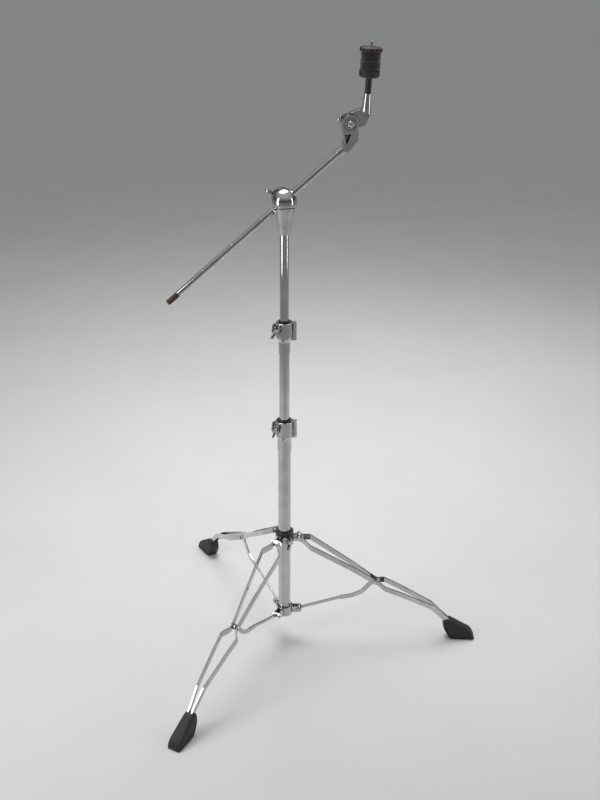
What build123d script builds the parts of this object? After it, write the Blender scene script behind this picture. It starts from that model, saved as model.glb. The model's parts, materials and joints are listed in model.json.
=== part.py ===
from build123d import *
import math
import os

# Cymbal boom stand, in millimetres, +Z up.
# The stand is laid out round the pole axis, standing on z = 0, with the first leg along +X.  The
# head, the boom and the cymbal tilter are drawn with the boom in a plane parallel to XZ and then
# turned together about the pole.  At the end everything moves by the same offset, so that the
# origin is the centre of the bounding box's bottom face.

# ---- driving dimensions -------------------------------------------------------------------------

RUN_GAP = 0.08            # radial gap of a running fit
GAP = 0.3                 # gap between faces of parts that move past each other

BASE_TUBE_R = 14.3
MIDDLE_TUBE_R = 11.1
TOP_TUBE_R = 9.55
TUBE_WALL = 1.2
BASE_TUBE_Z = (72.0, 548.0)
MIDDLE_TUBE_Z = (340.0, 780.0)
TOP_TUBE_Z = (560.0, 1027.0)

# tripod
LEG_AZIMUTHS = {"right": 0.0, "front": -120.0, "back": 120.0}
LEG_PIVOT = (33.0, 281.0)          # distance from the pole axis, height
BRACE_PIVOT = (34.0, 81.0)
LEG_JOINT = (212.0, 161.0)         # where brace and leg meet
BAR_THICK = 3.5
BAR_HIGH = 11.0
BAR_NARROW = 7.6                   # bar centre to leg mid-plane at the brace
BAR_AT_COLLAR = 8.0
BAR_WIDE_INNER = 23.5
BAR_WIDE_OUTER = 20.5
BAR_AT_BOOT = 4.8
BRACE_THICK = 3.0
PIN_R = 3.0
COLLAR_Z = (270.0, 289.0)
COLLAR_R = 20.0
COLLAR_RING_Z = (289.0, 299.0)
COLLAR_RING_R = 21.0
COLLAR_WING_AZIMUTH = -60.0
COLLAR_WING_Z = 279.5
LEG_BENDS = ((64.0, 262.5), (156.0, 202.0), LEG_JOINT, (271.0, 133.0), (350.0, 90.0), (402.0, 38.0))
BRACE_RISE = ((129.0, 111.0), (160.0, 117.0))
BRACE_HOOK = ((134.0, 112.0), (160.0, 117.0), (182.0, 127.0), (197.0, 145.0))
HUB_Z = (68.0, 90.0)
HUB_R = 19.0
BOOT_R = (381.0, 458.0)            # from the pole axis to the boot's heel and toe

# tube clamps: heights are measured from the bottom of each clamp's skirt
LOWER_CLAMP_Z = 511.0
UPPER_CLAMP_Z = 743.0
CLAMP_HEIGHT = 70.0
SKIRT_HEIGHT = 26.0
FLARE_HEIGHT = 36.0
JAW_BOTTOM = 38.0
LOWER_CLAMP_R = 19.6
UPPER_CLAMP_R = 18.1
KNUCKLE_R = 5.5
SPLIT = 0.8                        # half of the gap between jaw and body
LUG_HALF_HIGH = 8.0
LUG_FRONT = -15.5
LUG_BACK = 12.0
CLAMP_BOLT_R = 3.0
HINGE_PIN_R = 2.0
SET_SCREW_R = 2.6
SET_SCREW_X = -2.5
SET_SCREW_HEIGHT = 31.5

# boom tilter
HEAD_TURN = 12.0                   # turn of the boom's plane about the pole
HEAD_Z = 1073.0
BALL_R = 25.7
BALL_BACK = 19.0
EAR_THICK = 7.5
EAR_R = 22.0
CONE_BOTTOM = (12.8, 1005.0)
CONE_TOP = (25.7, 1065.0)
CUP_LIP_Z = 1057.0
CUP_LIP_SLOPE = 14.4               # the cup's lip rises towards the front
CONE_PIN_Z = 1022.0
CONE_PIN_R = 1.8
TILT_BOLT_R = 4.0
TILT_WING_RISE = 24.0

# boom
BOOM_R = 6.35
BOOM_Y = 6.0
BOOM_DROP = 1.5                    # the boom passes this much below the ball's centre
BOOM_ELEVATION = 39.7
BOOM_LOW = -315.5                  # along the boom from the head, to the end cap's tip
BOOM_HIGH = 152.0
END_CAP = 29.0
GROOVES = (-214.0, -134.5, -55.0)
GROOVE_WIDE = 5.0
GROOVE_DEEP = 0.5

# cymbal tilter
TILTER_JOINT = (131.2, 1223.5)
TILTER_DISC_R = 17.0
TILTER_COLLAR = (141.0, 159.0)
ARM_ROOT_R = 8.8
ARM_BELLY = (3.5, -27.0)            # from the joint
ARM_BELLY_R = 14.5
ARM_HEEL = (26.0, 2.0)              # from the joint
ARM_HEEL_R = 11.3
ARM_FOOT_R = 9.5
WINDOW_CORNERS = ((-11.5, -20.5), (3.5, -20.5), (-6.5, -44.5))
WINDOW_DEPTH = 7.0
LOWER_ARM_Y = (-6.0, 6.7)
UPPER_ARM_Y = (7.0, 17.0)
TILTER_BOLT_R = 3.5
POST_FOOT = (167.5, 1243.0)
POST_Y = 11.0
POST_LEAN = 3.0
POST_R = 3.0
SOCKET_TOP = 1278.0
SLEEVE_R = 6.4
SLEEVE_NECK_R = 4.8
SEAT_Z = (1308.5, 1323.0)
SEAT_R = 20.6
LOWER_FELT_Z = (1323.3, 1340.3)
LOWER_FELT_R = 21.0
UPPER_FELT_Z = (1340.6, 1356.8)
UPPER_FELT_R = 20.2
NUT_Z = (1357.2, 1367.5)
NUT_R = 22.4
POST_TOP = 1377.0

parts = {}


# ---- helpers ------------------------------------------------------------------------------------

def rod(radius, low, high):
    """Round bar along Z between two heights."""
    return Pos(0, 0, low) * Cylinder(radius, high - low, align=(Align.CENTER, Align.CENTER, Align.MIN))


def pipe(inner, outer, low, high):
    return rod(outer, low, high) - rod(inner, low - 1, high + 1)


def along_y(radius, x, z, low, high):
    """Round bar along Y through (x, z)."""
    return Plane((x, low, z), x_dir=(1, 0, 0), z_dir=(0, 1, 0)) * rod(radius, 0, high - low)


def side_slab(outline, low, high):
    """Extrude an outline drawn in x and z from y = low to y = high."""
    face = Plane.XZ.offset(-low) * outline
    return extrude(face, high - low, dir=(0, 1, 0))


def ribbon(points, width, bend):
    """Flat band of even width along a bent line, drawn as a face."""
    line = FilletPolyline(*points, radius=bend)
    return make_face(offset(line, width / 2, kind=Kind.ARC, side=Side.BOTH))


def turned(points):
    """Solid of revolution about Z from points of (radius, height)."""
    return revolve(Plane.XZ * make_face(Polyline(*points, close=True)), Axis.Z)


def wing_bolt(shaft_r, shaft_length, hub_r=6.5, hub_length=12.0, span=17.0, lift=5.0, thick=3.6):
    """Wing bolt along Z: its hub stands on z = 0 and the shaft goes down from there."""
    lobe_r = hub_length * 0.42
    neck = Pos(0, hub_length * 0.5) * Circle(hub_length * 0.4)
    wings = Sketch()
    for side in (-1, 1):
        lobe = Pos(side * (span - lobe_r), hub_length * 0.5 + lift) * Circle(lobe_r)
        wings += make_hull((neck + lobe).edges())
    plate = side_slab(wings, -thick / 2, thick / 2)
    hub = turned([(0, 0), (hub_r, 0), (hub_r * 0.82, hub_length), (0, hub_length)])
    hub = fillet(hub.edges().sort_by(Axis.Z)[-1], 1.2)
    return plate + hub + rod(shaft_r, -shaft_length, 1)


def placed(shape, origin, x_dir, z_dir):
    return Plane(origin, x_dir=x_dir, z_dir=z_dir) * shape


def add_turned(node, shape):
    """Name a part that is turned with the head about the pole."""
    parts[node] = Rot(0, 0, HEAD_TURN) * shape


# ---- tubes --------------------------------------------------------------------------------------

def build_tubes():
    parts["base_tube"] = pipe(BASE_TUBE_R - TUBE_WALL, BASE_TUBE_R, *BASE_TUBE_Z)
    parts["middle_tube"] = pipe(MIDDLE_TUBE_R - TUBE_WALL, MIDDLE_TUBE_R, *MIDDLE_TUBE_Z)
    parts["top_tube"] = pipe(TOP_TUBE_R - TUBE_WALL, TOP_TUBE_R, *TOP_TUBE_Z)


# ---- tripod -------------------------------------------------------------------------------------

def build_collar():
    """Casting that slides on the base tube, its nylon ring, wing bolt and the leg pivot bolts."""
    pivot_r, pivot_z = LEG_PIVOT
    tongue_half = BAR_AT_COLLAR - BAR_THICK / 2 - GAP
    outline = Pos((COLLAR_R + pivot_r) / 2, 279) * Rectangle(pivot_r - COLLAR_R + 6, 14)
    outline += Pos(pivot_r, pivot_z) * Circle(7)
    tongue = side_slab(outline, -tongue_half, tongue_half)
    wing_seat = placed(rod(7.5, 0, COLLAR_R + 3), (0, 0, COLLAR_WING_Z), (0, 0, 1), (1, 0, 0))
    casting = rod(COLLAR_R, *COLLAR_Z) + Rot(0, 0, COLLAR_WING_AZIMUTH) * wing_seat
    bolts = []
    for azimuth in LEG_AZIMUTHS.values():
        turn = Rot(0, 0, azimuth)
        casting += turn * tongue
        bolts.append(turn * leg_pivot_bolt(pivot_r, pivot_z))
    casting -= rod(BASE_TUBE_R + GAP, 200, 350)
    for azimuth in LEG_AZIMUTHS.values():
        casting -= Rot(0, 0, azimuth) * along_y(PIN_R, pivot_r, pivot_z, -20, 20)
    bolt = placed(wing_bolt(CLAMP_BOLT_R, 8.5, hub_r=6.0, hub_length=10, span=18, lift=4),
                  (COLLAR_R + 3.3, 0, COLLAR_WING_Z), (0, 0.5, 0.85), (1, 0, 0))
    bolt = Rot(0, 0, COLLAR_WING_AZIMUTH) * bolt
    bolt_hole = placed(rod(CLAMP_BOLT_R + RUN_GAP, 0, 40), (0, 0, COLLAR_WING_Z), (0, 0, 1), (1, 0, 0))
    casting -= Rot(0, 0, COLLAR_WING_AZIMUTH) * bolt_hole
    ring = pipe(BASE_TUBE_R + RUN_GAP, COLLAR_RING_R, *COLLAR_RING_Z)
    ring = chamfer(ring.edges().group_by(Axis.Z)[-1].sort_by(SortBy.RADIUS)[-1], 1.5)
    parts["leg_collar"] = casting
    parts["collar_nylon_ring"] = ring
    parts["leg_pivot_bolts"] = Compound(children=bolts)
    parts["collar_wing_bolt"] = bolt


def leg_pivot_bolt(x, z):
    """Bolt through both bars and the collar's tongue, with a round head and a hexagon nut."""
    outer = BAR_AT_COLLAR + BAR_THICK / 2 + GAP
    head = along_y(5.2, x, z, -outer - 3, -outer)
    nut = side_slab(Pos(x, z) * RegularPolygon(5.6, 6), outer, outer + 4)
    return along_y(PIN_R, x, z, -outer - 1, outer + 5) + head + nut


def bar_side_outline():
    return ribbon([LEG_PIVOT, *LEG_BENDS], BAR_HIGH, 12)


def bar_plan_outline():
    """Bar seen from above: close at the collar and at the brace, wide between them."""
    points = [
        (15, BAR_AT_COLLAR),
        (43, BAR_AT_COLLAR),
        (60, BAR_WIDE_INNER),
        (202, BAR_NARROW),
        (221, BAR_NARROW),
        (237, BAR_WIDE_OUTER),
        (384, BAR_AT_BOOT),
        (415, BAR_AT_BOOT),
    ]
    return ribbon(points, BAR_THICK, 4)


def leg_bar(side):
    """One bent flat bar; side is 1 or -1."""
    bar = side_slab(bar_side_outline(), 0, 40) & extrude(bar_plan_outline(), 400)
    bar -= along_y(PIN_R + RUN_GAP, *LEG_PIVOT, -50, 50)
    bar -= along_y(PIN_R, *LEG_JOINT, -50, 50)
    return bar if side > 0 else mirror(bar, Plane.XZ)


def leg_rivets():
    """Stub rivets, one in each bar, that end flush with the bars' inner faces."""
    inner = BAR_NARROW - BAR_THICK / 2
    outer = BAR_NARROW + BAR_THICK / 2
    rivet = along_y(PIN_R, *LEG_JOINT, inner, outer) + along_y(5.0, *LEG_JOINT, outer, outer + 1.6)
    return Compound(children=[rivet, mirror(rivet, Plane.XZ)])


def leg_boot(bars):
    """Rubber boot: a wedge that is high where the leg enters and low at the toe."""
    heel, toe = BOOT_R
    side = make_face(Polyline((heel, 42.5), (393, 55), (445, 24), (toe - 1, 4), (toe - 2, 0),
                              (400, 0), close=True))
    plan = make_face(Polyline((heel - 3, -13), (toe + 3, -16.5), (toe + 3, 16.5), (heel - 3, 13),
                              close=True))
    front = make_face(Polyline((-17, 0), (17, 0), (10.5, 58), (-10.5, 58), close=True))
    boot = side_slab(side, -30, 30) & extrude(plan, 80)
    boot &= extrude(Plane.YZ.offset(heel - 10) * front, toe - heel + 30)
    boot = fillet(boot.edges().filter_by_position(Axis.Z, 1, 80), 2.2)
    for bar in bars:
        boot -= bar
    return boot


def brace_strip():
    """Brace: flat strip on edge, bent up to the leg, with an eye at the lower hub."""
    start = BRACE_PIVOT
    straight = ribbon([start, *BRACE_RISE], 6.5, 12)
    bend = ribbon([*BRACE_HOOK, LEG_JOINT], 10, 9)
    strip = side_slab(straight + bend, -BRACE_THICK / 2, BRACE_THICK / 2)
    strip += along_y(5.2, *start, -5.2, 5.2)
    strip -= along_y(PIN_R + RUN_GAP, *start, -20, 20)
    return strip


def brace_spacers():
    """Nylon spacers on both sides of the brace's outer end, between the leg's bars."""
    inner = BRACE_THICK / 2
    outer = BAR_NARROW - BAR_THICK / 2 - GAP
    spacer = along_y(6.0, *LEG_JOINT, inner, outer)
    return Compound(children=[spacer, mirror(spacer, Plane.XZ)])


def build_legs():
    for name, azimuth in LEG_AZIMUTHS.items():
        turn = Rot(0, 0, azimuth)
        bars = [leg_bar(-1), leg_bar(1)]
        parts[f"leg_{name}_bar_a"] = turn * bars[0]
        parts[f"leg_{name}_bar_b"] = turn * bars[1]
        parts[f"leg_{name}_rivets"] = turn * leg_rivets()
        parts[f"leg_{name}_boot"] = turn * leg_boot(bars)
        parts[f"brace_{name}"] = turn * brace_strip()
        parts[f"brace_{name}_spacers"] = turn * brace_spacers()


def build_lower_hub():
    """Ring that closes the base tube's bottom end, with a clevis for each brace."""
    pivot_r, pivot_z = BRACE_PIVOT
    ear_low, ear_high = 5.5, 8.5
    hub = rod(HUB_R, *HUB_Z)
    ear = Pos(pivot_r - 8, pivot_z - 0.5) * Rectangle(16, 13)
    ear += Pos(pivot_r, pivot_z) * Circle(6.8)
    pins = []
    for azimuth in LEG_AZIMUTHS.values():
        turn = Rot(0, 0, azimuth)
        for side in (-1, 1):
            low, high = sorted((side * ear_low, side * ear_high))
            hub += turn * side_slab(ear, low, high)
        hub -= turn * along_y(PIN_R, pivot_r, pivot_z, -20, 20)
        pin = along_y(PIN_R, pivot_r, pivot_z, -ear_high, ear_high)
        pin += along_y(4.6, pivot_r, pivot_z, -ear_high - 2, -ear_high)
        pin += along_y(4.6, pivot_r, pivot_z, ear_high, ear_high + 2)
        pins.append(turn * pin)
    hub -= rod(BASE_TUBE_R, BASE_TUBE_Z[0], 120)
    parts["lower_hub"] = hub
    parts["brace_pins"] = Compound(children=pins)


# ---- tube clamps --------------------------------------------------------------------------------

def build_clamp(name, base_z, body_r, outer_tube_r, inner_tube_r, wing_turn):
    """Skirt fixed on the outer tube, hinged jaw, nylon bush, hinge pin and wing bolt."""
    bush_r = outer_tube_r - 0.3
    knuckle_x = body_r + 2.5
    lug_x = -(body_r + 0.5)
    jaw_z = base_z + JAW_BOTTOM
    top_z = base_z + CLAMP_HEIGHT
    knuckle_z = base_z + 0.62 * CLAMP_HEIGHT + 10
    bolt_z = (jaw_z + top_z) / 2

    skirt = turned([
        (outer_tube_r, base_z), (outer_tube_r + 1.4, base_z),
        (outer_tube_r + 1.6, base_z + SKIRT_HEIGHT), (body_r, base_z + FLARE_HEIGHT),
        (body_r, jaw_z), (outer_tube_r, jaw_z),
    ])

    def half(side, low):
        """Half shell with its lug and hinge link; side is 1 for the rear half."""
        shell = rod(body_r, low, top_z)
        lug = Pos(lug_x, bolt_z) * Circle(LUG_HALF_HIGH)
        lug += Pos(lug_x + 5.5, bolt_z) * Rectangle(11, 2 * LUG_HALF_HIGH)
        shell += side_slab(lug, LUG_FRONT, LUG_BACK)
        shell += Pos(knuckle_x / 2, 0, (low + top_z) / 2) * Box(knuckle_x, 10, top_z - low)
        shell = fillet(shell.edges().filter_by(GeomType.CIRCLE).group_by(Axis.Z)[-1], 1.5)
        keep = Pos(0, side * (SPLIT + 50), 0) * Box(200, 100, 4000)
        return shell & keep

    knuckle_gap = 0.4
    low_knuckle = Pos(knuckle_x, 0, 0) * rod(KNUCKLE_R, jaw_z + knuckle_gap, knuckle_z)
    high_knuckle = Pos(knuckle_x, 0, 0) * rod(KNUCKLE_R, knuckle_z + knuckle_gap, top_z)
    low_room = Pos(knuckle_x, 0, 0) * rod(KNUCKLE_R + 0.6, jaw_z, knuckle_z + knuckle_gap)
    high_room = Pos(knuckle_x, 0, 0) * rod(KNUCKLE_R + 0.6, knuckle_z, top_z + 5)
    pin_hole = Pos(knuckle_x, 0, 0) * rod(HINGE_PIN_R, base_z, top_z + 5)
    pin_room = Pos(knuckle_x, 0, 0) * rod(HINGE_PIN_R + RUN_GAP, base_z, top_z + 5)
    bore = rod(bush_r + RUN_GAP, base_z - 5, top_z + 5)
    jaw_bore = rod(bush_r + GAP + 0.1, base_z - 5, top_z + 5)
    bolt_room = along_y(CLAMP_BOLT_R + 0.9, lug_x, bolt_z, -40, 40)

    body = half(1, jaw_z) - low_room + high_knuckle
    link = Pos(knuckle_x, 0, jaw_z - 3) * rod(KNUCKLE_R, -5, 3)
    link += Pos(knuckle_x / 2, 0, jaw_z - 4) * Box(knuckle_x, 2 * KNUCKLE_R, 8)
    body = body - bore + skirt + (link - rod(outer_tube_r + 0.5, base_z, jaw_z + 1))
    body = body - pin_hole - bolt_room - rod(outer_tube_r, base_z - 1, jaw_z)
    jaw = half(-1, jaw_z + knuckle_gap) - high_room + low_knuckle
    jaw = jaw - jaw_bore - pin_room - along_y(CLAMP_BOLT_R + RUN_GAP, lug_x, bolt_z, -40, 40)

    pin = Pos(knuckle_x, 0, 0) * (rod(HINGE_PIN_R, jaw_z - 8, top_z)
                                + rod(HINGE_PIN_R + 1.2, top_z, top_z + 1.2))
    bush = pipe(inner_tube_r + RUN_GAP, bush_r, jaw_z + GAP, top_z + 2.5)
    bush += pipe(inner_tube_r + RUN_GAP, bush_r + 1.2, top_z + GAP, top_z + 3.5)
    wing = wing_bolt(CLAMP_BOLT_R, 24, hub_r=6.8, hub_length=11, span=16.5, lift=3.5, thick=4.4)
    wing_x = (math.sin(math.radians(wing_turn)), 0, math.cos(math.radians(wing_turn)))
    wing = placed(wing, (lug_x, LUG_FRONT - GAP, bolt_z), wing_x, (0, -1, 0))
    screw_z = base_z + SET_SCREW_HEIGHT
    screw = along_y(SET_SCREW_R, SET_SCREW_X, screw_z, -(body_r + 0.6), -outer_tube_r)
    slot = Pos(SET_SCREW_X, -(body_r + 0.6), screw_z) * Box(0.9, 1.6, 6)
    body -= along_y(SET_SCREW_R, SET_SCREW_X, screw_z, -(body_r + 5), 0)

    parts[f"{name}_clamp_body"] = body
    parts[f"{name}_clamp_jaw"] = jaw
    parts[f"{name}_clamp_hinge_pin"] = pin
    parts[f"{name}_clamp_bush"] = bush
    parts[f"{name}_clamp_wing_bolt"] = wing
    parts[f"{name}_clamp_set_screw"] = screw - slot


# ---- boom tilter --------------------------------------------------------------------------------

def build_tilter_cone():
    """Cone on the top tube: a cup in front for the ball, a slot for the boom, an ear behind."""
    bottom_r, bottom_z = CONE_BOTTOM
    top_r, top_z = CONE_TOP
    slot_front = -1.0
    ear_front = BALL_BACK + GAP
    ear_back = ear_front + EAR_THICK
    slot_z = TOP_TUBE_Z[1]

    cone = turned([(0, bottom_z), (bottom_r, bottom_z), (top_r, top_z), (0, top_z)])
    cone = fillet(cone.edges().group_by(Axis.Z)[0], 1.5)
    upright = Align.CENTER, Align.CENTER, Align.MIN
    above_lip = Pos(0, 0, CUP_LIP_Z) * Rot(-CUP_LIP_SLOPE, 0, 0) * Box(100, 100, 50, align=upright)
    behind = Align.CENTER, Align.MIN, Align.MIN
    cone -= above_lip
    cone -= Pos(0, slot_front, slot_z) * Box(100, 60, 60, align=behind)
    cone -= Pos(0, 0, HEAD_Z) * Sphere(BALL_R + GAP)

    profile = make_face(Polyline((ear_front, HEAD_Z + EAR_R), (ear_back, HEAD_Z + EAR_R),
                                 (ear_back, 1054), (18, 1014), (11, 1014), (11, slot_z),
                                 (ear_front, slot_z), close=True))
    ear = extrude(Plane.YZ * profile, 40, both=True)
    shape = Pos(0, HEAD_Z) * Circle(EAR_R) + Pos(0, HEAD_Z - 32) * Rectangle(24, 64)
    ear &= side_slab(shape, -10, 60)
    ear -= along_y(TILT_BOLT_R + RUN_GAP, 0, HEAD_Z, 0, 60)

    pin_tip = -(bottom_r + 3.2)
    cone = Rot(0, 0, HEAD_TURN) * (cone + ear)
    cone -= rod(TOP_TUBE_R, bottom_z - 1, slot_z)
    cone -= along_y(CONE_PIN_R, 0, CONE_PIN_Z, -30, 0)
    parts["tilter_cone"] = cone
    parts["tilter_cone_pin"] = along_y(CONE_PIN_R, 0, CONE_PIN_Z, pin_tip, -TOP_TUBE_R)


def boom_frame(distance=0.0):
    """Plane on the boom's axis before the head's turn, its z direction up along the boom."""
    angle = math.radians(BOOM_ELEVATION)
    direction = (math.cos(angle), 0, math.sin(angle))
    origin = (distance * direction[0], BOOM_Y, HEAD_Z - BOOM_DROP + distance * direction[2])
    return Plane(origin, x_dir=(-direction[2], 0, direction[0]), z_dir=direction)


def build_tilter_ball():
    """Ball that holds the boom, the shoe that presses on the boom, and the wing bolt behind."""
    ball = Sphere(BALL_R) & Pos(0, BALL_BACK - 50, 0) * Box(100, 100, 100)
    ball = Pos(0, 0, HEAD_Z) * ball
    ball -= boom_frame() * rod(BOOM_R + RUN_GAP, -60, 60)
    ball -= along_y(TILT_BOLT_R + RUN_GAP, 0, HEAD_Z, BOOM_Y, 60)
    shoe = along_y(TILT_BOLT_R, 0, HEAD_Z, BOOM_Y, BOOM_Y + BOOM_R + 2.4)
    shoe -= boom_frame() * rod(BOOM_R + RUN_GAP, -60, 60)
    ear_back = BALL_BACK + GAP + EAR_THICK
    shaft = ear_back + GAP - (BOOM_Y + BOOM_R + 2.7)
    bolt = wing_bolt(TILT_BOLT_R, shaft, hub_r=8, hub_length=14, span=34, lift=5, thick=5)
    wing_x = (-math.cos(math.radians(TILT_WING_RISE)), 0, math.sin(math.radians(TILT_WING_RISE)))
    bolt = placed(bolt, (0, ear_back + GAP, HEAD_Z), wing_x, (0, 1, 0))
    add_turned("tilter_ball", ball)
    add_turned("boom_shoe", shoe)
    add_turned("tilt_wing_bolt", bolt)


def build_boom():
    shaft = rod(BOOM_R, BOOM_LOW + END_CAP, BOOM_HIGH)
    for centre in GROOVES:
        shaft -= pipe(BOOM_R - GROOVE_DEEP, BOOM_R + 2, centre - GROOVE_WIDE / 2,
                      centre + GROOVE_WIDE / 2)
    spigot = rod(BOOM_R - 2, BOOM_LOW + END_CAP - 12, BOOM_LOW + END_CAP)
    cap = rod(BOOM_R - 0.4, BOOM_LOW, BOOM_LOW + END_CAP)
    cap = fillet(cap.edges().group_by(Axis.Z)[0], 2.5) - spigot
    add_turned("boom_rod", boom_frame() * (shaft + spigot))
    add_turned("boom_end_cap", boom_frame() * cap)


# ---- cymbal tilter ------------------------------------------------------------------------------

def build_lower_arm():
    """Arm fitted on the boom's upper end, widening to the round joint."""
    joint_x, joint_z = TILTER_JOINT
    front, back = LOWER_ARM_Y
    low, high = TILTER_COLLAR
    collar = rod(ARM_ROOT_R, low, high)
    collar = fillet(collar.edges().group_by(Axis.Z)[0], 1.0)
    root = boom_frame(high + 4).origin
    root_circle = Pos(root.X, root.Z) * Circle(ARM_ROOT_R)
    belly = Pos(joint_x, joint_z) * Pos(*ARM_BELLY) * Circle(ARM_BELLY_R)
    disc = Pos(joint_x, joint_z) * Circle(TILTER_DISC_R)
    arm = side_slab(make_hull((root_circle + belly).edges()), front, back)
    arm += side_slab(make_hull((belly + disc).edges()), front, back)
    arm += boom_frame() * (collar + rod(8.0, high - 1, high + 6))
    window = make_face(Polyline(*WINDOW_CORNERS, close=True))
    window = Pos(joint_x, joint_z) * fillet(window.vertices(), 2.2)
    arm -= side_slab(window, front - 1, front + WINDOW_DEPTH)
    arm -= along_y(13.5, joint_x, joint_z, front - 1, front + 1.5)
    arm -= side_slab(Pos(joint_x, joint_z) * Circle(TILTER_DISC_R + 2), back, 40)
    arm -= along_y(TILTER_BOLT_R, joint_x, joint_z, -40, 40)
    arm -= boom_frame() * rod(BOOM_R + RUN_GAP, low - 5, BOOM_HIGH + GAP)
    return arm


def post_frame():
    """Plane on the post's foot, its z direction up along the post."""
    lean = math.radians(POST_LEAN)
    return Plane((POST_FOOT[0], POST_Y, POST_FOOT[1]), x_dir=(math.cos(lean), 0, -math.sin(lean)),
                 z_dir=(math.sin(lean), 0, math.cos(lean)))


def up_post(height):
    """Distance along the post from its foot to a height above the floor."""
    return (height - POST_FOOT[1]) / math.cos(math.radians(POST_LEAN))


def build_upper_arm():
    """Arm that tilts on the joint and carries the post's socket."""
    joint_x, joint_z = TILTER_JOINT
    low, high = UPPER_ARM_Y
    disc = Pos(joint_x, joint_z) * Circle(TILTER_DISC_R - 0.5)
    foot = Pos(*POST_FOOT) * Circle(ARM_FOOT_R)
    heel = Pos(joint_x, joint_z) * Pos(*ARM_HEEL) * Circle(ARM_HEEL_R)
    web = Polyline(TILTER_JOINT, (joint_x + ARM_HEEL[0], joint_z + ARM_HEEL[1]), POST_FOOT, close=True)
    arm = side_slab(make_face(web), low, high)
    for first, second in ((disc, heel), (heel, foot), (foot, disc)):
        arm += side_slab(make_hull((first + second).edges()), low, high)
    stem = turned([(0, -4), (9.2, -4), (9.2, 6), (7.2, up_post(SOCKET_TOP)),
                   (0, up_post(SOCKET_TOP))])
    arm += post_frame() * stem
    arm -= side_slab(Pos(joint_x, joint_z) * Circle(TILTER_DISC_R + 2), -10, low)
    arm -= along_y(TILTER_BOLT_R + RUN_GAP, joint_x, joint_z, -40, 40)
    arm -= post_frame() * rod(POST_R, up_post(SOCKET_TOP - 22), up_post(SOCKET_TOP + 5))
    return arm


def build_cymbal_tilter():
    joint_x, joint_z = TILTER_JOINT
    front = LOWER_ARM_Y[0] + 1.5
    dome = turned([(0, 0), (9.5, 0), (9.5, 1.6), (7.4, 1.6)] +
                  [(7.4 * math.cos(math.radians(a)), 3 + 7.0 * math.sin(math.radians(a)))
                   for a in range(0, 91, 15)])
    dome = placed(dome, (joint_x, front, joint_z), (1, 0, 0), (0, -1, 0))
    back = UPPER_ARM_Y[1]
    bolt = dome + along_y(TILTER_BOLT_R, joint_x, joint_z, front - 1, back + 12)
    nut = wing_bolt(TILTER_BOLT_R, 0, hub_r=7.2, hub_length=12, span=20, lift=3, thick=4.2)
    nut = placed(nut, (joint_x, back + GAP, joint_z), (-0.98, 0, 0.2), (0, 1, 0))
    nut -= along_y(TILTER_BOLT_R + RUN_GAP, joint_x, joint_z, 0, 60)
    add_turned("tilter_lower_arm", build_lower_arm())
    add_turned("tilter_upper_arm", build_upper_arm())
    add_turned("tilter_joint_bolt", bolt)
    add_turned("tilter_wing_nut", nut)


def build_post():
    """Cymbal post with its sleeve, seat, two felts and quick nut, all round one leaning axis."""
    frame = post_frame()
    hole = POST_R + RUN_GAP
    neck_hole = SLEEVE_NECK_R + GAP
    shoulder = up_post(SEAT_Z[0] - GAP)
    post = rod(POST_R, up_post(SOCKET_TOP - 22), up_post(POST_TOP))
    post = chamfer(post.edges().group_by(Axis.Z)[-1], 0.8)
    sleeve = rod(SLEEVE_R, up_post(SOCKET_TOP + GAP), shoulder)
    sleeve += rod(SLEEVE_NECK_R, shoulder, up_post(UPPER_FELT_Z[1] - 3))
    sleeve -= rod(hole, 0, 200)
    seat_low, seat_high = (up_post(z) for z in SEAT_Z)
    seat = turned([(neck_hole, seat_low), (SEAT_R - 4, seat_low), (SEAT_R - 0.6, seat_low + 3),
                   (SEAT_R, seat_low + 6), (SEAT_R, seat_high), (neck_hole, seat_high)])
    add_turned("cymbal_post", frame * post)
    add_turned("post_sleeve", frame * sleeve)
    add_turned("cymbal_seat", frame * seat)
    for name, radius, heights in (("lower_felt", LOWER_FELT_R, LOWER_FELT_Z),
                                  ("upper_felt", UPPER_FELT_R, UPPER_FELT_Z)):
        low, high = (up_post(z) for z in heights)
        felt = pipe(neck_hole, radius, low, high)
        rims = [edge for edge in felt.edges().filter_by(GeomType.CIRCLE) if edge.radius > 10]
        add_turned(name, frame * fillet(rims, 2.5))
    low, high = (up_post(z) for z in NUT_Z)
    nut = turned([(hole, low), (NUT_R - 1, low), (NUT_R, low + 1), (NUT_R, high - 3),
                  (NUT_R - 2.5, high - 1), (8, high), (hole, high)])
    add_turned("quick_nut", frame * nut)


# ---- build, centre and write --------------------------------------------------------------------

build_tubes()
build_collar()
build_legs()
build_lower_hub()
build_clamp("lower", LOWER_CLAMP_Z, LOWER_CLAMP_R, BASE_TUBE_R, MIDDLE_TUBE_R, 20)
build_clamp("upper", UPPER_CLAMP_Z, UPPER_CLAMP_R, MIDDLE_TUBE_R, TOP_TUBE_R, 35)
build_tilter_cone()
build_tilter_ball()
build_boom()
build_cymbal_tilter()
build_post()

boxes = [shape.bounding_box() for shape in parts.values()]
low_x, high_x = min(box.min.X for box in boxes), max(box.max.X for box in boxes)
low_y, high_y = min(box.min.Y for box in boxes), max(box.max.Y for box in boxes)
low_z = min(box.min.Z for box in boxes)
OFFSET = (-(low_x + high_x) / 2, -(low_y + high_y) / 2, -low_z)

os.makedirs("parts", exist_ok=True)
for node, shape in parts.items():
    export_step(Pos(*OFFSET) * shape, f"parts/{node}.step")
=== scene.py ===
import json
import math

import bmesh
import bpy
from mathutils import Matrix, Vector, noise


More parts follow.
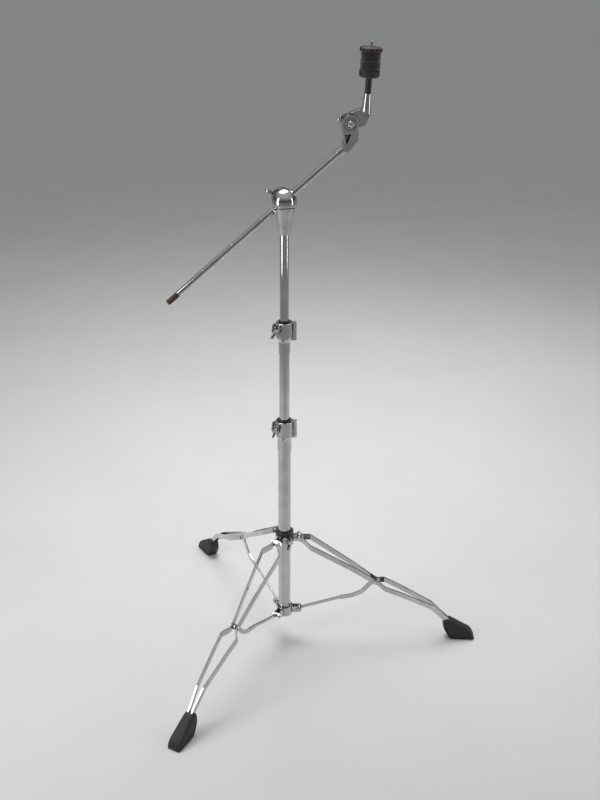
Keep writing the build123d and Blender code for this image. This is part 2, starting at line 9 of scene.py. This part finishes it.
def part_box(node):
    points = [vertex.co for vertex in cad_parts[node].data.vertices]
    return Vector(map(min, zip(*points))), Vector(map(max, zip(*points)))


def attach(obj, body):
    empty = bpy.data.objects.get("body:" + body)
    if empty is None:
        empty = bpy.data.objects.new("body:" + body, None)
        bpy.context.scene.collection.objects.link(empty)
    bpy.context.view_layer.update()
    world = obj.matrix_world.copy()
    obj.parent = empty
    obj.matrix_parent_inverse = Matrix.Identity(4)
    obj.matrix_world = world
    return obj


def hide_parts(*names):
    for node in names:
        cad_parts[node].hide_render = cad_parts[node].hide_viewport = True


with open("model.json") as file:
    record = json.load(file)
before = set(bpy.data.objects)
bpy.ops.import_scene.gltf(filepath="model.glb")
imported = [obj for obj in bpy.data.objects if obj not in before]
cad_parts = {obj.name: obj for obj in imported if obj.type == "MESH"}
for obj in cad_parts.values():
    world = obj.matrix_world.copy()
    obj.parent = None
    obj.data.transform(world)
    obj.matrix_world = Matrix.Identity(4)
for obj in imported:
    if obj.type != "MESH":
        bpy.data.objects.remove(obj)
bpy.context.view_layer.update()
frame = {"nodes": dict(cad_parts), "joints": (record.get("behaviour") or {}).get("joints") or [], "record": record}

nodes = frame["nodes"]
joints = {joint["name"]: joint for joint in frame["joints"]}
SLOTS = {part["node"]: part["material_slot"] for part in frame["record"]["subparts"]}


# ---- material helpers ---------------------------------------------------------------------------

# a Mix node's inputs and output for colours
MIX_FACTOR, MIX_FIRST, MIX_SECOND, MIX_RESULT = 0, 6, 7, 2


def new_material(name, **sockets):
    """Material with a Principled shader; constants go straight on its sockets."""
    mat = bpy.data.materials.new(name)
    mat.use_nodes = True
    shader = mat.node_tree.nodes["Principled BSDF"]
    for socket, value in sockets.items():
        shader.inputs[socket.replace("_", " ")].default_value = value
    return mat


def add_node(mat, kind, **settings):
    node = mat.node_tree.nodes.new(kind)
    for name, value in settings.items():
        setattr(node, name, value)
    return node


def link(mat, source, target):
    mat.node_tree.links.new(source, target)


def shader_of(mat):
    return mat.node_tree.nodes["Principled BSDF"]


def grain(mat, scale, detail, stretch=(1, 1, 1)):
    """Noise in object coordinates, in metres: a higher scale is finer."""
    coords = add_node(mat, "ShaderNodeTexCoord")
    mapping = add_node(mat, "ShaderNodeMapping")
    mapping.inputs["Scale"].default_value = stretch
    tex = add_node(mat, "ShaderNodeTexNoise")
    tex.inputs["Scale"].default_value = scale
    tex.inputs["Detail"].default_value = detail
    link(mat, coords.outputs["Object"], mapping.inputs["Vector"])
    link(mat, mapping.outputs["Vector"], tex.inputs["Vector"])
    return tex.outputs["Fac"]


def spread(mat, source, low, high, start=0.3, end=0.7):
    """Map a value between start and end onto the range from low to high."""
    node = add_node(mat, "ShaderNodeMapRange")
    node.inputs["From Min"].default_value = start
    node.inputs["From Max"].default_value = end
    node.inputs["To Min"].default_value = low
    node.inputs["To Max"].default_value = high
    link(mat, source, node.inputs["Value"])
    return node.outputs["Result"]


def combine(mat, operation, first, second):
    """Arithmetic on two values, each a constant or another node's output."""
    node = add_node(mat, "ShaderNodeMath", operation=operation)
    for socket, value in zip(node.inputs, (first, second)):
        if isinstance(value, (int, float)):
            socket.default_value = value
        else:
            link(mat, value, socket)
    return node.outputs["Value"]


def blend_colours(mat, factor, first, second):
    """Blend of two colours, each a constant or another node's output."""
    node = add_node(mat, "ShaderNodeMix", data_type="RGBA")
    link(mat, factor, node.inputs[MIX_FACTOR])
    for socket, colour in ((MIX_FIRST, first), (MIX_SECOND, second)):
        if isinstance(colour, tuple):
            node.inputs[socket].default_value = (*colour, 1)
        else:
            link(mat, colour, node.inputs[socket])
    return node.outputs[MIX_RESULT]


def edge_wear(mat, radius):
    """One near an edge, zero on open faces."""
    bevel = add_node(mat, "ShaderNodeBevel", samples=4)
    bevel.inputs["Radius"].default_value = radius
    geometry = add_node(mat, "ShaderNodeNewGeometry")
    dot = add_node(mat, "ShaderNodeVectorMath", operation="DOT_PRODUCT")
    link(mat, bevel.outputs["Normal"], dot.inputs[0])
    link(mat, geometry.outputs["Normal"], dot.inputs[1])
    return spread(mat, dot.outputs["Value"], 1.0, 0.0, 0.8, 1.0)


def recess_shade(mat, reach):
    """Mask for painted shade: one deep inside a pocket or a crevice, zero on open faces."""
    occlusion = add_node(mat, "ShaderNodeAmbientOcclusion", samples=8)
    occlusion.inputs["Distance"].default_value = reach
    return spread(mat, occlusion.outputs["AO"], 1.0, 0.0, 0.35, 0.85)


def bump(mat, height, distance, strength, edge_radius=None):
    """Bump from a height; an edge radius also rounds the shaded edges."""
    node = add_node(mat, "ShaderNodeBump")
    node.inputs["Strength"].default_value = strength
    node.inputs["Distance"].default_value = distance
    link(mat, height, node.inputs["Height"])
    if edge_radius:
        rounding = add_node(mat, "ShaderNodeBevel", samples=4)
        rounding.inputs["Radius"].default_value = edge_radius
        link(mat, rounding.outputs["Normal"], node.inputs["Normal"])
    link(mat, node.outputs["Normal"], shader_of(mat).inputs["Normal"])


# ---- materials ----------------------------------------------------------------------------------

CHROME_CLEAN, CHROME_SMUDGED = (0.60, 0.605, 0.61), (0.47, 0.465, 0.46)
# near-black colour of the painted shade that darkens chrome in recesses and crevices
PAINTED_SHADE = (0.035, 0.033, 0.032)


def plating(name, stretch, smudge, reach):
    """Chrome plate with hazy smudges, duller edges, painted shade in recesses and rub marks.

    Returns the material and the rub marks, which can serve as a bump's height.
    """
    mat = new_material(name, Metallic=1.0)
    shader = shader_of(mat)
    haze = grain(mat, 26, 4)
    rubs = grain(mat, 900, 2, stretch)
    tint = blend_colours(mat, spread(mat, haze, 0, 1), CHROME_CLEAN, CHROME_SMUDGED)
    # painted shade: an occlusion mask darkens the chrome's colour in pockets, crevices and where pieces meet
    shaded_tint = blend_colours(mat, recess_shade(mat, reach), tint, PAINTED_SHADE)
    link(mat, shaded_tint, shader.inputs["Base Color"])
    rough = combine(mat, "ADD", spread(mat, haze, 0.045, smudge, 0.42, 0.72),
                    spread(mat, rubs, 0.0, 0.035, 0.45, 0.8))
    dull_edges = combine(mat, "MULTIPLY", edge_wear(mat, 0.0009), 0.10)
    link(mat, combine(mat, "ADD", rough, dull_edges), shader.inputs["Roughness"])
    return mat, rubs


def chrome(name, stretch=(1, 1, 1), smudge=0.10, edge_radius=0.0006):
    """Chrome over smooth steel; a small stretch draws the rub marks out along that axis."""
    mat, rubs = plating(name, stretch, smudge, reach=0.004)
    bump(mat, rubs, 0.000005, 0.3, edge_radius)
    return mat


def cast_chrome(name):
    """Chrome over a die casting: a faint orange-peel surface and softer edges."""
    mat = plating(name, (1, 1, 1), 0.15, reach=0.012)[0]
    swell = combine(mat, "MULTIPLY", grain(mat, 90, 2), 1.5)
    bump(mat, combine(mat, "ADD", grain(mat, 420, 2), swell), 0.00006, 0.3, 0.0011)
    return mat


def moulded(name, dark, light, rough_low, rough_high, pit=0.00009, dust=0.0):
    """Moulded rubber or plastic: fine pits, greyer rubbed patches and dust on upward faces."""
    mat = new_material(name)
    shader = shader_of(mat)
    patches = spread(mat, grain(mat, 60, 4), 0.0, 1.0, 0.4, 0.75)
    wear = edge_wear(mat, 0.0012)
    worn = combine(mat, "MAXIMUM", patches, combine(mat, "MULTIPLY", wear, 0.8))
    if dust:
        geometry = add_node(mat, "ShaderNodeNewGeometry")
        split = add_node(mat, "ShaderNodeSeparateXYZ")
        link(mat, geometry.outputs["Normal"], split.inputs[0])
        upward = spread(mat, split.outputs["Z"], 0.0, dust, 0.2, 1.0)
        speck = spread(mat, grain(mat, 700, 3), 0.2, 1.0, 0.35, 0.65)
        worn = combine(mat, "ADD", worn, combine(mat, "MULTIPLY", upward, speck))
    link(mat, blend_colours(mat, worn, dark, light), shader.inputs["Base Color"])
    link(mat, spread(mat, worn, rough_low, rough_high, 0, 1), shader.inputs["Roughness"])
    bump(mat, grain(mat, 2200, 3), pit, 0.45, 0.0008)
    return mat


def felt(name):
    """Pressed black wool felt: matted fibres, lint and a soft sheen."""
    mat = new_material(name, Roughness=0.95, Sheen_Weight=0.55, Sheen_Roughness=0.5,
                       Specular_IOR_Level=0.15)
    shader = shader_of(mat)
    fibres = grain(mat, 1500, 6, (1, 1, 2.4))
    lint = spread(mat, grain(mat, 3200, 2, (1, 1, 0.4)), 0, 1, 0.62, 0.8)
    mats = spread(mat, grain(mat, 130, 3), 0, 0.6)
    shade = combine(mat, "ADD", mats, lint)
    link(mat, blend_colours(mat, shade, (0.008, 0.008, 0.009), (0.05, 0.048, 0.047)),
         shader.inputs["Base Color"])
    bump(mat, fibres, 0.00045, 0.8)
    return mat


def machined(name, dark, light, rough):
    """Plated steel with fine turning marks."""
    mat = new_material(name, Metallic=1.0)
    shader = shader_of(mat)
    marks = grain(mat, 1800, 2, (1, 1, 0.2))
    stain = spread(mat, grain(mat, 110, 4), 0, 1)
    link(mat, blend_colours(mat, stain, dark, light), shader.inputs["Base Color"])
    link(mat, spread(mat, marks, rough - 0.08, rough + 0.12), shader.inputs["Roughness"])
    bump(mat, marks, 0.00002, 0.4, 0.0003)
    return mat


TUBE_CHROME = chrome("tube_chrome", stretch=(1, 1, 0.03))
BAR_CHROME = chrome("bar_chrome", stretch=(0.3, 0.3, 0.3), smudge=0.12)
CAST_CHROME = cast_chrome("cast_chrome")
BOLT_CHROME = chrome("bolt_chrome", smudge=0.14, edge_radius=0.0009)
RUBBER = moulded("rubber", (0.006, 0.006, 0.007), (0.024, 0.023, 0.023), 0.48, 0.74, dust=0.35)
NYLON = moulded("nylon", (0.012, 0.012, 0.013), (0.03, 0.03, 0.031), 0.32, 0.5, pit=0.00004)
SLEEVE = moulded("sleeve_plastic", (0.008, 0.008, 0.009), (0.026, 0.026, 0.027), 0.42, 0.6)
NUT_PLASTIC = moulded("nut_plastic", (0.012, 0.007, 0.008), (0.042, 0.016, 0.018), 0.34, 0.55)
CAP_PLASTIC = moulded("cap_plastic", (0.022, 0.014, 0.011), (0.055, 0.038, 0.031), 0.4, 0.6)
FELT = felt("black_felt")
STEEL = machined("pin_steel", (0.42, 0.41, 0.40), (0.58, 0.57, 0.56), 0.3)
POST_STEEL = machined("post_steel", (0.26, 0.255, 0.25), (0.40, 0.39, 0.38), 0.34)

TUBES = ("base_tube", "middle_tube", "top_tube")
BARS = ("boom_rod", "brace_right", "brace_front", "brace_back")
CASTINGS = ("leg_collar", "lower_hub", "lower_clamp_body", "lower_clamp_jaw", "upper_clamp_body",
            "upper_clamp_jaw", "tilter_cone", "tilter_ball", "tilter_lower_arm",
            "tilter_upper_arm")
BY_SLOT = {"rubber": RUBBER, "nylon": NYLON, "steel": STEEL, "threaded_steel": POST_STEEL,
           "end_cap": CAP_PLASTIC, "sleeve": SLEEVE, "felt": FELT, "nut": NUT_PLASTIC}


def material_for(node):
    if node in TUBES:
        return TUBE_CHROME
    if node in CASTINGS:
        return CAST_CHROME
    if node in BARS or "_bar_" in node:
        return BAR_CHROME
    return BY_SLOT.get(SLOTS[node], BOLT_CHROME)


def dress(obj, mat):
    obj.data.materials.clear()
    obj.data.materials.append(mat)


for node_name, node_object in nodes.items():
    dress(node_object, material_for(node_name))


# ---- mesh helpers -------------------------------------------------------------------------------

def add_object(name, mesh_data, mat):
    obj = bpy.data.objects.new(name, mesh_data)
    bpy.context.scene.collection.objects.link(obj)
    dress(obj, mat)
    for face in mesh_data.polygons:
        face.use_smooth = True
    return obj


def keep_piece(obj, body, slot_name, *replaced):
    """Stand in for the replaced nodes, on their body."""
    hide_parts(*replaced)
    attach(obj, body)


def ring_mesh(name, rings, closed=False, capped=False):
    """Mesh from rings of equally many points; closed joins the last ring to the first."""
    verts = [point for ring in rings for point in ring]
    count = len(rings[0])
    faces = []
    for i in range(len(rings) if closed else len(rings) - 1):
        low, high = i * count, ((i + 1) % len(rings)) * count
        for j in range(count):
            k = (j + 1) % count
            faces.append((low + j, low + k, high + k, high + j))
    if capped:
        faces.append(tuple(range(count))[::-1])
        last = (len(rings) - 1) * count
        faces.append(tuple(range(last, last + count)))
    mesh_data = bpy.data.meshes.new(name)
    mesh_data.from_pydata(verts, [], faces)
    mesh = bmesh.new()
    mesh.from_mesh(mesh_data)
    bmesh.ops.recalc_face_normals(mesh, faces=mesh.faces)
    mesh.to_mesh(mesh_data)
    mesh.free()
    return mesh_data


# the cymbal post leans: it lies along the axis that the nut lifts on, through the nut's centre
post_up = Vector(joints["nut_lift"]["axis"]).normalized()
post_side = post_up.cross(Vector((0, 1, 0))).normalized()
post_back = post_up.cross(post_side)


def centre_of(node):
    low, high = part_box(node)
    return (low + high) / 2


post_centre = centre_of("quick_nut")


def along_post(node):
    """Lowest and highest distance along the post of a node, from the quick nut's centre."""
    spans = [(v.co - post_centre).dot(post_up) for v in nodes[node].data.vertices]
    return min(spans), max(spans)


def reach_from_post(node):
    """Smallest and largest distance of a node's points from the post's axis."""
    reach = []
    for vertex in nodes[node].data.vertices:
        offset = vertex.co - post_centre
        reach.append((offset - offset.dot(post_up) * post_up).length)
    return min(reach), max(reach)


def on_post(height, radius, angle):
    return (post_centre + height * post_up
            + radius * (math.cos(angle) * post_side + math.sin(angle) * post_back))


def turned_on_post(name, profile, steps, shape=None):
    """Solid round the post from a closed profile of (radius, height).

    shape, if given, changes radius and height by the angle round the post.
    """
    rings = []
    for step in range(steps):
        angle = 2 * math.pi * step / steps
        ring = []
        for radius, height in profile:
            if shape:
                radius, height = shape(radius, height, angle)
            ring.append(on_post(height, radius, angle))
        rings.append(ring)
    return ring_mesh(name, rings, closed=True)


# ---- felts --------------------------------------------------------------------------------------

def felt_washer(node, body, seed):
    """Pressed felt washer: a bulging uneven side, and faces that dip inside the rim."""
    low, high = along_post(node)
    inner, outer = reach_from_post(node)
    face_gap, rim_gap = 0.0002, 0.0004
    rounding, dish, side_points = 0.0034, 0.0005, 14
    coarse_dent, fine_dent, hole_edge = 0.00035, 0.00012, 0.001
    low, high, outer = low + face_gap, high - face_gap, outer - rim_gap
    mid, half = (low + high) / 2, (high - low) / 2
    profile = []
    for i in range(side_points + 1):
        turn = -math.pi / 2 + math.pi * i / side_points
        bulge = abs(math.cos(turn)) ** 0.45
        rise = math.copysign(abs(math.sin(turn)) ** 0.55, math.sin(turn))
        profile.append((outer - rounding + rounding * bulge, mid + half * rise))
    across = [inner + (outer - rounding - inner) * t for t in (0.8, 0.6, 0.4, 0.2, 0.0)]
    dips = [dish * (1 - i / len(across)) for i in range(len(across))]
    face = list(zip(across, dips))
    profile += [(radius, high - dip) for radius, dip in face]
    profile += [(inner, mid)]
    profile += [(radius, low + dip) for radius, dip in reversed(face)]

    def fuzz(radius, height, angle):
        spot = Vector((math.cos(angle) * 2.2, math.sin(angle) * 2.2, height * 160 + seed))
        fine = Vector((math.cos(angle) * 9, math.sin(angle) * 9, height * 700 + seed))
        dent = coarse_dent * noise.noise(spot) + fine_dent * noise.noise(fine)
        if radius < inner + hole_edge:
            return radius, height
        return min(radius + dent, outer), height

    pressed = turned_on_post(node, profile, steps=96, shape=fuzz)
    washer = add_object(f"{node}_pressed", pressed, FELT)
    keep_piece(washer, body, "felt", node)


felt_washer("lower_felt", "felt_low", 1.7)
felt_washer("upper_felt", "felt_top", 5.3)


# ---- quick nut, threaded post and seat ----------------------------------------------------------

def ribbed_nut():
    """Quick nut: a skirt with finger grips under a plain rim, and a raised centre boss."""
    low, high = along_post("quick_nut")
    inner, outer = reach_from_post("quick_nut")
    grips, grip_deep = 18, 0.0011
    skirt_inside, skirt_top = outer - 0.0025, low + 0.0080
    top = high - 0.0002
    profile = [
        (inner, low), (outer - 0.0022, low), (outer - 0.0010, low + 0.0004),
        (outer - 0.0002, low + 0.0014), (outer, low + 0.0028), (outer, low + 0.0062),
        (outer - 0.0004, low + 0.0074), (outer - 0.0014, low + 0.0084),
        (outer - 0.0030, low + 0.0089), (outer * 0.72, low + 0.0092), (outer * 0.50, low + 0.0093),
        (outer * 0.46, low + 0.0094), (outer * 0.42, top - 0.0002), (outer * 0.38, top),
        (inner + 0.0010, top), (inner, top - 0.0006), (inner, (low + top) / 2),
    ]

    def grip(radius, height, angle):
        if radius < skirt_inside or height > skirt_top:
            return radius, height
        wave = 0.5 - 0.5 * math.cos(grips * angle)
        return radius - grip_deep * wave ** 3, height

    ribbed = turned_on_post("quick_nut", profile, steps=216, shape=grip)
    nut = add_object("quick_nut_ribbed", ribbed, NUT_PLASTIC)
    keep_piece(nut, "nut", "nut", "quick_nut")


def threaded_post():
    """Post with a thread modelled from its tip down into the sleeve."""
    low, high = along_post("cymbal_post")
    outer = reach_from_post("cymbal_post")[1]
    pitch, deep, chamfer = 0.00125, 0.00055, 0.0009
    rows_per_pitch, around = 8, 24
    thread_length, tip_gap = 0.075, 0.0001
    thread_start = high - thread_length
    heights = [low, thread_start]
    row = thread_start + pitch / rows_per_pitch
    while row < high - tip_gap:
        heights.append(row)
        row += pitch / rows_per_pitch
    heights.append(high)
    rings = []
    for height in heights:
        ring = []
        for step in range(around):
            angle = 2 * math.pi * step / around
            turns = (height - thread_start) / pitch - step / around
            depth = deep * abs(2 * (turns % 1.0) - 1) if height > thread_start else 0.0
            tip = max(0.0, chamfer - (high - height))
            ring.append(on_post(height, outer - max(depth, tip), angle))
        rings.append(ring)
    threaded = ring_mesh("cymbal_post", rings, capped=True)
    post = add_object("cymbal_post_threaded", threaded, POST_STEEL)
    keep_piece(post, "tilter_arm", "threaded_steel", "cymbal_post")


def cup_seat():
    """Moulded cup washer: ribs on its side and a rounded lip."""
    low, high = along_post("cymbal_seat")
    inner, outer = reach_from_post("cymbal_seat")
    ribs, rib_deep = 48, 0.00035
    side_inside, side_top = outer - 0.0007, high - 0.0020
    profile = [
        (inner, low), (outer - 0.0062, low), (outer - 0.0044, low + 0.0003),
        (outer - 0.0020, low + 0.0018), (outer - 0.0008, low + 0.0036),
        (outer - 0.0003, low + 0.0052), (outer - 0.0003, high - 0.0022),
        (outer, high - 0.0018), (outer, high - 0.0008), (outer - 0.0004, high - 0.0002),
        (outer - 0.0012, high), (inner + 0.001, high), (inner, high - 0.0005),
        (inner, (low + high) / 2),
    ]

    def rib(radius, height, angle):
        if radius < side_inside or height > side_top:
            return radius, height
        wave = 0.5 - 0.5 * math.cos(ribs * angle)
        return radius - rib_deep * wave ** 2, height

    ribbed = turned_on_post("cymbal_seat", profile, steps=192, shape=rib)
    seat = add_object("cymbal_seat_ribbed", ribbed, SLEEVE)
    keep_piece(seat, "seat", "sleeve", "cymbal_seat")


ribbed_nut()
threaded_post()
cup_seat()


# ---- rubber boots -------------------------------------------------------------------------------

pole = centre_of("base_tube")
boot_low, boot_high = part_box("leg_right_boot")
HEEL, TOE = boot_low.x - pole.x, boot_high.x - pole.x
BOOT_TOP, BOOT_HALF = boot_high.z, boot_high.y - pole.y
LEG_TURNS = {"right": 0.0, "front": -120.0, "back": 120.0}
BOOT_CORNER, BOOT_LIP, BOOT_TAPER = 0.0045, 0.0014, 0.17
GROOVES, GROOVE_BAND = 3, 0.0036
DEEP_GROOVE, SHALLOW_GROOVE, SHALLOW_BELOW = 0.0009, 0.0004, 0.02

# along the boot: share of its length, half width, sole height, top height, as shares of the
# boot's half width and height; the leg's bars enter at the heel
BOOT_SECTIONS = (
    (0.00, 0.66, 0.60, 0.82), (0.02, 0.72, 0.52, 0.90), (0.08, 0.77, 0.36, 0.97),
    (0.16, 0.80, 0.16, 1.00), (0.235, 0.83, 0.02, 0.965), (0.26, 0.84, 0.0, 0.945),
    (0.42, 0.90, 0.0, 0.80), (0.58, 0.93, 0.0, 0.65), (0.72, 0.96, 0.0, 0.525),
    (0.82, 0.975, 0.0, 0.445), (0.88, 0.98, 0.0, 0.37), (0.93, 0.975, 0.0, 0.27),
    (0.96, 0.94, 0.0, 0.19), (0.98, 0.88, 0.005, 0.13), (0.992, 0.79, 0.012, 0.09),
    (0.998, 0.70, 0.02, 0.07),
)


def boot_ring(share, half, sole, top):
    """Cross-section of the boot: rounded top corners, grooved sides and a flat sole."""
    r = HEEL + (TOE - HEEL) * share
    half *= BOOT_HALF
    sole, top = sole * BOOT_TOP, top * BOOT_TOP
    height = top - sole
    corner = min(BOOT_CORNER, height * 0.45, half * 0.4)
    top_half = half * (1 - BOOT_TAPER * min(1.0, height / BOOT_TOP))
    lip = min(BOOT_LIP, height * 0.1)
    band = min(GROOVE_BAND, height / 9)
    deep = DEEP_GROOVE if height > SHALLOW_BELOW else SHALLOW_GROOVE
    points = [(0.0, sole), (half * 0.55, sole), (half - 0.0022, sole), (half, sole + lip)]
    for groove in range(GROOVES):
        base = sole + lip + band * (groove + 0.4)
        lean = (half - top_half) * (base - sole) / height
        points += [(half - lean, base), (half - lean - deep, base + band * 0.22),
                   (half - lean, base + band * 0.44)]
    points += [(top_half + 0.0004, top - corner), (top_half - corner * 0.3, top - corner * 0.3),
               (top_half - corner, top), (top_half * 0.4, top), (0.0, top)]
    ring = [(r, y, z) for y, z in points]
    ring += [(r, -y, z) for y, z in reversed(points[1:-1])]
    return ring


def boot(leg):
    """Moulded boot on a leg's foot: the right leg's boot turned about the pole."""
    turn = Matrix.Rotation(math.radians(LEG_TURNS[leg]), 4, "Z")
    foot = Vector((pole.x, pole.y, 0))
    rings = []
    for section in BOOT_SECTIONS:
        rings.append([foot + turn @ Vector(point) for point in boot_ring(*section)])
    data = ring_mesh(f"boot_{leg}", rings, capped=True)
    shell = add_object(f"boot_{leg}_moulded", data, RUBBER)
    soften = shell.modifiers.new("rounding", "BEVEL")
    soften.width = 0.0011
    soften.segments = 3
    soften.limit_method = "ANGLE"
    soften.angle_limit = math.radians(28)
    keep_piece(shell, f"leg_{leg}", "rubber", f"leg_{leg}_boot")


for leg_name in LEG_TURNS:
    boot(leg_name)


# ---- stage, lights and camera -------------------------------------------------------------------

# place in metres, angles in degrees, lens and sensor width in millimetres
CAMERA_SPOT = (-0.0736, -2.215, 1.693)
CAMERA_TILT, CAMERA_ROLL = 25.63, 0.37
CAMERA_LENS, CAMERA_SENSOR = 50.75, 36


def make_stage():
    """Pale matt floor with faint patches."""
    bpy.ops.mesh.primitive_plane_add(size=60, location=(0, 0, 0))
    floor = bpy.context.object
    floor.name = "stage_floor"
    mat = new_material("stage_floor", Roughness=0.7)
    shade = blend_colours(mat, grain(mat, 3, 2), (0.54, 0.535, 0.52), (0.59, 0.585, 0.57))
    link(mat, shade, shader_of(mat).inputs["Base Color"])
    dress(floor, mat)


def make_world():
    """Soft studio surroundings: grey below, a dark band above the horizon, light overhead."""
    world = bpy.data.worlds.new("studio")
    world.use_nodes = True
    bpy.context.scene.world = world
    tree = world.node_tree
    coords = tree.nodes.new("ShaderNodeTexCoord")
    split = tree.nodes.new("ShaderNodeSeparateXYZ")
    ramp = tree.nodes.new("ShaderNodeValToRGB")
    tree.links.new(coords.outputs["Generated"], split.inputs[0])
    tree.links.new(split.outputs["Z"], ramp.inputs[0])
    tree.links.new(ramp.outputs["Color"], tree.nodes["Background"].inputs["Color"])
    ramp.color_ramp.elements[0].position = 0.0
    ramp.color_ramp.elements[0].color = (0.27, 0.275, 0.28, 1)
    ramp.color_ramp.elements[1].position = 0.75
    ramp.color_ramp.elements[1].color = (0.85, 0.87, 0.90, 1)
    middle = ramp.color_ramp.elements.new(0.18)
    middle.color = (0.07, 0.071, 0.073, 1)
    tree.nodes["Background"].inputs["Strength"].default_value = 0.6


def softbox(name, location, target, width, height, power, spread_angle=180):
    """Rectangular area light that faces its target and doesn't show in the picture."""
    light = bpy.data.lights.new(name, "AREA")
    light.shape = "RECTANGLE"
    light.size, light.size_y = width, height
    light.energy = power
    light.spread = math.radians(spread_angle)
    obj = bpy.data.objects.new(name, light)
    bpy.context.scene.collection.objects.link(obj)
    obj.location = location
    direction = Vector(target) - Vector(location)
    obj.rotation_euler = direction.to_track_quat("-Z", "Y").to_euler()
    obj.visible_camera = False


def make_camera():
    """Camera in front of the stand and above its top, looking down at it."""
    tilt, roll = math.radians(CAMERA_TILT), math.radians(CAMERA_ROLL)
    forward = Vector((0, math.cos(tilt), -math.sin(tilt)))
    level = Vector((1, 0, 0))
    above = level.cross(forward)
    right = math.cos(roll) * level + math.sin(roll) * above
    up = -math.sin(roll) * level + math.cos(roll) * above
    camera = bpy.data.cameras.new("camera")
    camera.lens = CAMERA_LENS
    camera.sensor_width = CAMERA_SENSOR
    obj = bpy.data.objects.new("camera", camera)
    bpy.context.scene.collection.objects.link(obj)
    turn = Matrix((right, up, -forward)).transposed().to_4x4()
    obj.matrix_world = Matrix.Translation(CAMERA_SPOT) @ turn
    bpy.context.scene.camera = obj


make_stage()
make_world()
softbox("left_panel", (-1.45, -0.75, 1.15), (0, 0, 0.95), width=0.42, height=1.6, power=11)
softbox("right_panel", (1.5, -0.35, 1.1), (0, 0, 0.95), width=0.2, height=1.5, power=5)
softbox("top_light", (-0.3, 0.9, 2.8), (-0.1, 0.7, 0), width=1.6, height=1.4, power=23,
        spread_angle=105)
softbox("back_light", (0.9, 1.9, 1.6), (0, 0, 0.7), width=0.5, height=1.0, power=6)
make_camera()
bpy.context.scene.view_settings.view_transform = "Standard"
